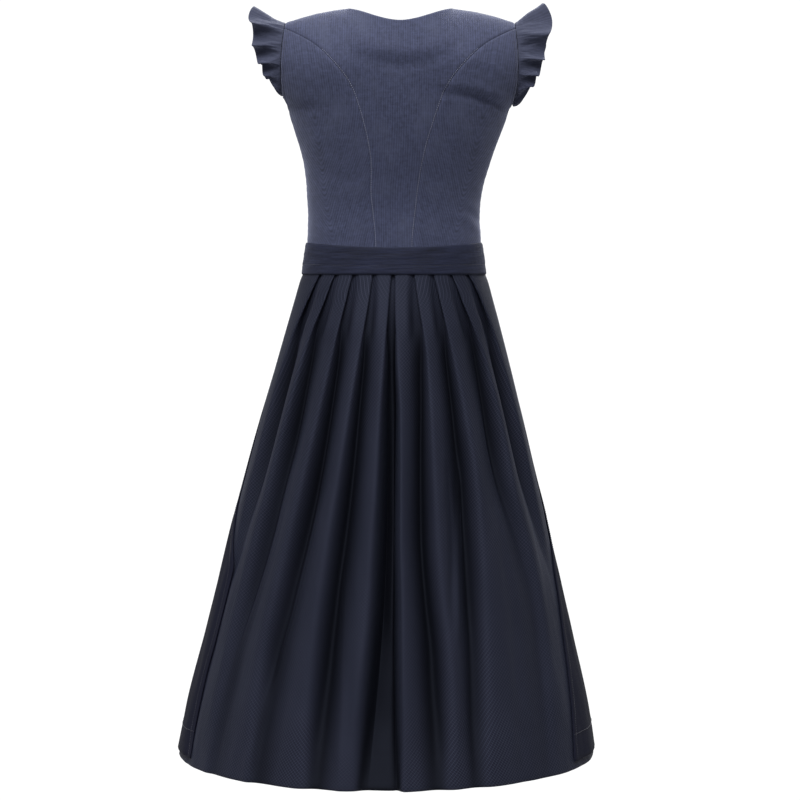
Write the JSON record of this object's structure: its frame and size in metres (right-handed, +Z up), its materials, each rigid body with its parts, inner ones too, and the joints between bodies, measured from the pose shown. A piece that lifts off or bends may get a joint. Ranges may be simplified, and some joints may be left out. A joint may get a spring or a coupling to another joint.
{
  "type": "dirndl",
  "caption": "Sleeveless folk dress in its worn form: fitted bodice with ruffle cap sleeves, waistband, pleated skirt to below the knee and wrapped apron, hollow inside.",
  "frame": {"origin": "midway between the shoulders, level with the shoulder seams, where the wearer carries the dress", "axes": "+Z up, +Y the way the wearer faces, +X the wearer's right"},
  "size_m": [0.6294, 0.5225, 1.1224],
  "materials": {
    "corduroy": "fine-wale cotton corduroy, slate navy",
    "band_cloth": "dark navy slub weave",
    "skirt_cloth": "dark navy jacquard with a small tone-on-tone lattice, slight sheen",
    "apron_cloth": "dark navy plain weave, slight sheen",
    "button": "dark, slightly polished"
  },
  "bodies": {
    "root": {"back_centre": "corduroy", "back_side_left": "corduroy", "back_side_right": "corduroy", "front_centre_left": "corduroy", "front_centre_right": "corduroy", "front_side_left": "corduroy", "front_side_right": "corduroy", "ruffle_left": "corduroy", "ruffle_right": "corduroy", "waistband": "band_cloth", "skirt_back": "skirt_cloth", "skirt_front": "skirt_cloth", "apron": "apron_cloth", "button_1": "button", "button_2": "button", "button_3": "button", "button_4": "button", "button_5": "button", "button_6": "button"}
  },
  "joints": []
}
